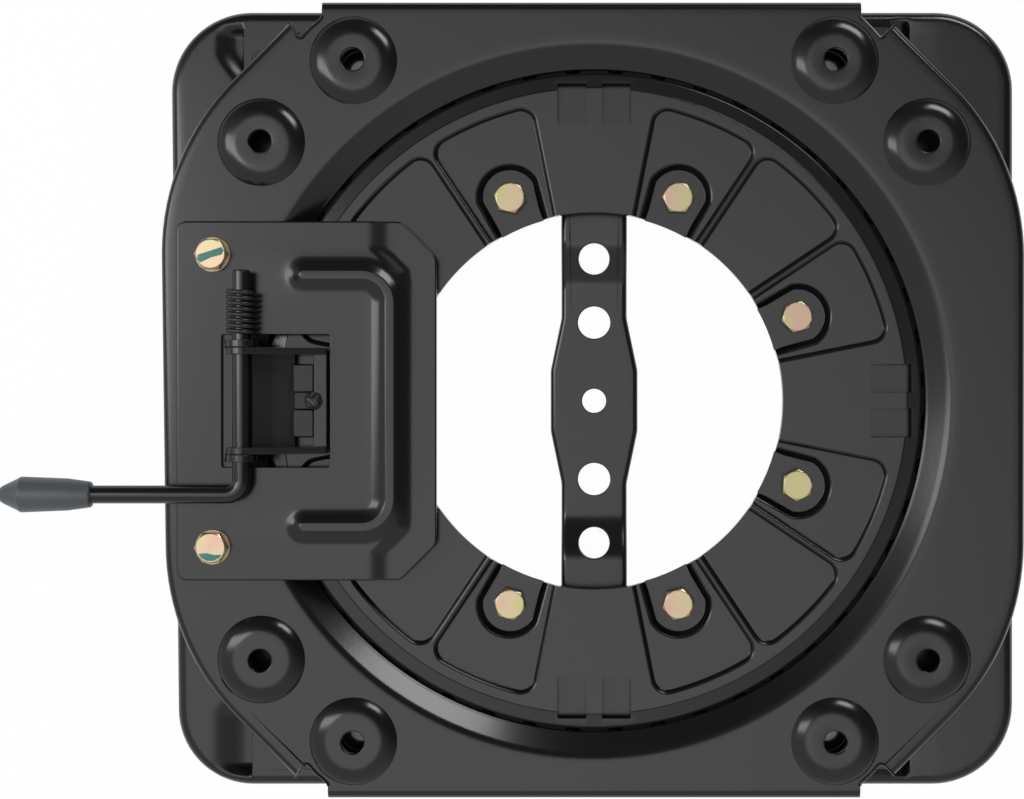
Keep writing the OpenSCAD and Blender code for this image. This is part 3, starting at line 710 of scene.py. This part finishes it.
# %% Races, brackets and lever
# the hub's bore is widened below the clamp ring, where the camera would otherwise see its wall
HUB_BORE_R = 86.8
hub = softened("hub_ring", "hub_ring_pressing", 0.5, "base", ring_coat)
for vertex in hub.data.vertices:
    reach = math.hypot(vertex.co.x, vertex.co.y)
    if reach < 85.6 * MM and vertex.co.z < 20 * MM:
        vertex.co.x *= HUB_BORE_R * MM / reach
        vertex.co.y *= HUB_BORE_R * MM / reach
softened("race_retainer", "race_retainer_pressing", 0.5, "turntable", seat_coat)
softened("pawl_bracket", "pawl_channel", 0.4, "lever", lever_coat)
softened("pivot_bracket", "lever_bracket", 0.4, "turntable", lock_coat)
softened("tooth_block", "lock_tooth_block", 0.5, "lever", tooth_coat_with_window_shade)
softened("lever_rod", "lever_rod_smooth", 0, "lever", lever_coat)
softened("lever_grip", "moulded_lever_grip", 0, "lever", grip_pvc)
weld = softened("tooth_weld", "tooth_weld_bead", 0, "lever", weld_metal)
# the weld's skin is pushed in and out by up to about a millimetre, as on one laid by hand
WELD_CENTRE = Vector((-124.6, 0, 38)) * MM
for vertex in weld.data.vertices:
    lump = noise.noise(vertex.co * 420) * 1.6 + noise.noise(vertex.co * 1100) * 0.7
    away = vertex.co - WELD_CENTRE
    vertex.co += away.normalized() * lump * MM * 0.6

# %% Bolts, nuts and bearing
# each clamp bolt is turned about its own axis by the angle at which the photograph shows its head
BOLT_TURNS = (-14.5, -16.5, -10.5, 8, -22, 31.5, 13.5, -18.5)
BOLT_CIRCLE_R = 98.7
bolts = softened("clamp_bolts", "clamp_hex_bolts", 0.25, "base", zinc)
for vertex in bolts.data.vertices:
    k = round((math.degrees(math.atan2(vertex.co.y, vertex.co.x)) - POCKET_PITCH) / (2 * POCKET_PITCH)) % 8
    place = math.radians(POCKET_PITCH + 2 * POCKET_PITCH * k)
    axis = Vector((BOLT_CIRCLE_R * MM * math.cos(place), BOLT_CIRCLE_R * MM * math.sin(place), 0))
    vertex.co = axis + Matrix.Rotation(math.radians(BOLT_TURNS[k]), 3, "Z") @ (vertex.co - axis)
softened("lock_bolts", "lock_hex_bolts", 0.25, "turntable", zinc)
softened("lock_washers", "lock_plain_washers", 0.25, "turntable", dull_zinc)
softened("clamp_nuts", "clamp_weld_nuts", 0.25, "base", zinc)
softened("lock_nuts", "lock_hex_nuts", 0.25, "turntable", zinc)
softened("bearing_balls", "bearing_ball_set", 0, "ball_set", gap_shade_ball_steel)
softened("ball_cage", "ball_cage_ring", 0.2, "ball_set", gap_shade_cage_nylon)

# %% [markdown]
# ## Web of the pawl and paint marks
# A web slopes from the rod down to the teeth. It is drawn as a line from the side, stretched across and
# given its thickness. When the two lock bolts were tight, someone dabbed green paint on their heads. A
# texture would need the heads unwrapped, so each dab is a low patch with an edge of its own.

# %% Web of the pawl
WEB_HALF = 20.6
WEB_T = 1.5
mesh = bmesh.new()
side_view = fillet([(-151.5, 40.4, 0), (-143, 36.2, 20), (-133.8, 33.2, 0)], False)
rows = [[mesh.verts.new((x * MM, y * MM, z * MM)) for x, z in side_view] for y in (-WEB_HALF, WEB_HALF)]
for i in range(len(side_view) - 1):
    mesh.faces.new((rows[0][i], rows[0][i + 1], rows[1][i + 1], rows[1][i]))
web = to_object(mesh, "pawl_web")
thick = web.modifiers.new("sheet", "SOLIDIFY")
thick.thickness = WEB_T * MM
bpy.ops.object.modifier_apply(modifier="sheet")
# painted shade: the web wears the teeth's darker coat
finish_piece(web, "lever", tooth_coat_with_window_shade)

# %% Paint marks on the lock bolts
mark_paint = grained("green_inspection_paint", "#3c8378", 0.5, 0.0, 0.8, 0.3)
mesh = bmesh.new()
stripe = [(-6.0, -2.3), (-4.4, -3.9), (0.5, -1.6), (5.1, -0.4), (5.9, 1.5), (4.9, 2.9), (0, 1.3),
          (-5.4, -0.4)]
chord = [(-5.2, -2.6), (-4.0, -4.4), (-1.5, -5.7), (1.5, -5.7), (4.2, -4.2), (5.0, -2.9), (1.9, -3.1),
         (-1.8, -2.2)]
for outline, side in ((stripe, 1), (chord, -1)):
    path = counter_clockwise([(x + LOCK_BOLT[0], y + side * LOCK_BOLT[1]) for x, y in outline])
    _, top = sweep(mesh, path, [(0, 42.88), (0, 42.95), (-0.15, 43.0)])
    fill(mesh, top)
marks = to_object(mesh, "inspection_paint_marks")
only(marks)
bpy.ops.object.shade_smooth_by_angle(angle=math.radians(30))
marks.data.materials.append(mark_paint)
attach(marks, "turntable")

# %% [markdown]
# ## Return spring
# A torsion spring of 2 mm wire is wound on the lever rod. One leg stands on the lock cover, and the other
# end stops under the rod. The wire is a curve through the points of a helix, with a round section. A
# screw modifier could wind the coil, but then the leg would be a second piece.

# %% Return spring
PIVOT = (-155.6, 44.0)
TURNS = 8
PITCH = 2.46
COIL_R = 5.8
FIRST_Y = 29.9
WIRE_R = 1.0
STEPS_A_TURN, STEPS_SHORT = 32, 7
points = [(COIL_R, FIRST_Y, -7.95 + 1.6 * k) for k in range(5)]
points += [(COIL_R * math.cos(a), FIRST_Y + PITCH * a / math.tau, COIL_R * math.sin(a))
           for a in (math.tau * k / STEPS_A_TURN for k in range(STEPS_A_TURN * TURNS - STEPS_SHORT))]
curve = bpy.data.curves.new("torsion_spring", "CURVE")
curve.dimensions = "3D"
curve.bevel_depth = WIRE_R * MM
curve.bevel_resolution = 4
curve.use_fill_caps = True
line = curve.splines.new("POLY")
line.points.add(len(points) - 1)
for point, (x, y, z) in zip(line.points, points):
    point.co = ((x + PIVOT[0]) * MM, y * MM, (z + PIVOT[1]) * MM, 1)
spring = bpy.data.objects.new("torsion_spring", curve)
bpy.context.scene.collection.objects.link(spring)
only(spring)
bpy.ops.object.convert(target="MESH")
finish_piece(spring, "turntable", oiled_wire, "return_spring", 60)
print("spring from y", FIRST_Y, "to", FIRST_Y + PITCH * TURNS)

# %% [markdown]
# ## Camera, light and floor
# The picture looks straight down, so the camera hangs over the swivel axis. Black gloss shows what it
# reflects: a soft patch overhead makes the flat faces grey, walls that darken toward the upper right make
# each fold read as a dark band, and two lamps, at the left and the upper right, light the round edges.

# %% Camera
WIDTH, HEIGHT = 1024, 799
AXIS_PX = (594.1, 400.8)
DISTANCE = 0.90
PX_PER_M = 2240
camera = bpy.data.objects.new("camera", bpy.data.cameras.new("camera"))
bpy.context.scene.collection.objects.link(camera)
camera.location = (0, 0, SEAT * MM + DISTANCE)
camera.data.sensor_width = 36
camera.data.lens = PX_PER_M * DISTANCE * camera.data.sensor_width / WIDTH
camera.data.shift_x = (WIDTH / 2 - AXIS_PX[0]) / WIDTH
camera.data.shift_y = (AXIS_PX[1] - HEIGHT / 2) / WIDTH
camera.data.clip_end = 20
bpy.context.scene.camera = camera
print("lens", round(camera.data.lens, 1), "mm")


# %% Lamps
def lamp(name, place, size, power):
    """A rectangular lamp that looks at the swivel axis."""
    data = bpy.data.lights.new(name, "AREA")
    data.shape = "RECTANGLE"
    data.size, data.size_y = size
    data.energy = power
    light = bpy.data.objects.new(name, data)
    light.location = place
    light.rotation_euler = Vector(place).to_track_quat("Z", "Y").to_euler()
    bpy.context.scene.collection.objects.link(light)
    print(name, "at", place)


lamp("left_softbox", (-0.96, 0.20, 1.14), (0.4, 1.0), 6.0)
lamp("low_strip", (0.66, 1.12, 0.74), (0.62, 0.42), 6.5)

# %% World: a soft patch overhead and dim walls
scene = bpy.context.scene
scene.view_settings.view_transform = "Standard"
world = bpy.data.worlds.new("studio")
scene.world = world
world.use_nodes = True
tree = world.node_tree
tree.nodes.clear()
way = add(tree, "ShaderNodeTexCoord")


def patch(axis, start, stop, low, high):
    """Light that rises smoothly where the direction comes near an axis."""
    near = add(tree, "ShaderNodeVectorMath", {0: way.outputs["Generated"]}, operation="DOT_PRODUCT")
    near.inputs[1].default_value = Vector(axis).normalized()
    level = add(tree, "ShaderNodeMapRange", {"Value": near.outputs["Value"]},
                interpolation_type="SMOOTHSTEP")
    for socket, value in (("From Min", start), ("From Max", stop), ("To Min", low), ("To Max", high)):
        level.inputs[socket].default_value = value
    return level.outputs["Result"]


overhead = patch((-0.08, -0.06, 1), 0.91, 0.98, 0.0, 1.15)
wall = patch((-0.5, -0.87, 0.1), -0.5, 0.5, 0.08, 0.65)
level = add(tree, "ShaderNodeMath", {0: overhead, 1: wall}, operation="ADD")
room = add(tree, "ShaderNodeBackground", {"Strength": level.outputs[0]}, Color=(1, 1, 1, 1))
white = add(tree, "ShaderNodeBackground", Color=(1, 1, 1, 1), Strength=1.0)
path = add(tree, "ShaderNodeLightPath")
mix = add(tree, "ShaderNodeMixShader", {"Fac": path.outputs["Is Camera Ray"]})
tree.links.new(room.outputs[0], mix.inputs[1])
tree.links.new(white.outputs[0], mix.inputs[2])
add(tree, "ShaderNodeOutputWorld", {"Surface": mix.outputs[0]})

# %% Floor
bpy.ops.object.select_all(action="DESELECT")
bpy.ops.mesh.primitive_plane_add(size=6, location=(0, 0, -0.0002))
floor = bpy.context.object
floor.name = "floor"
material, tree, shader = new_material("white_paper_floor")
set_up(shader, Base_Color=linear("#e9e9e9"), Roughness=0.9)
path = add(tree, "ShaderNodeLightPath")
glow = add(tree, "ShaderNodeEmission", Color=(1, 1, 1, 1), Strength=1.0)
seen = add(tree, "ShaderNodeMath", {0: path.outputs["Is Camera Ray"], 1: path.outputs["Is Glossy Ray"]},
           operation="MAXIMUM")
either = add(tree, "ShaderNodeMath", {0: seen.outputs[0], 1: path.outputs["Is Transmission Ray"]},
             operation="MAXIMUM")
share = add(tree, "ShaderNodeMath", {0: either.outputs[0]}, operation="MULTIPLY")
reach = add(tree, "ShaderNodeAmbientOcclusion", Distance=0.06)
open_floor = add(tree, "ShaderNodeMapRange", {"Value": reach.outputs["AO"]})
# occlusion tells where the floor lies under the part: there it is shaded, elsewhere it glows white
for socket, value in (("From Min", 0.04), ("From Max", 0.16), ("To Min", 0.0), ("To Max", 0.98)):
    open_floor.inputs[socket].default_value = value
tree.links.new(open_floor.outputs["Result"], share.inputs[1])
blend = add(tree, "ShaderNodeMixShader", {"Fac": share.outputs[0]})
tree.links.new(shader.outputs[0], blend.inputs[1])
tree.links.new(glow.outputs[0], blend.inputs[2])
tree.links.new(blend.outputs[0], tree.nodes["Material Output"].inputs["Surface"])
floor.data.materials.append(material)
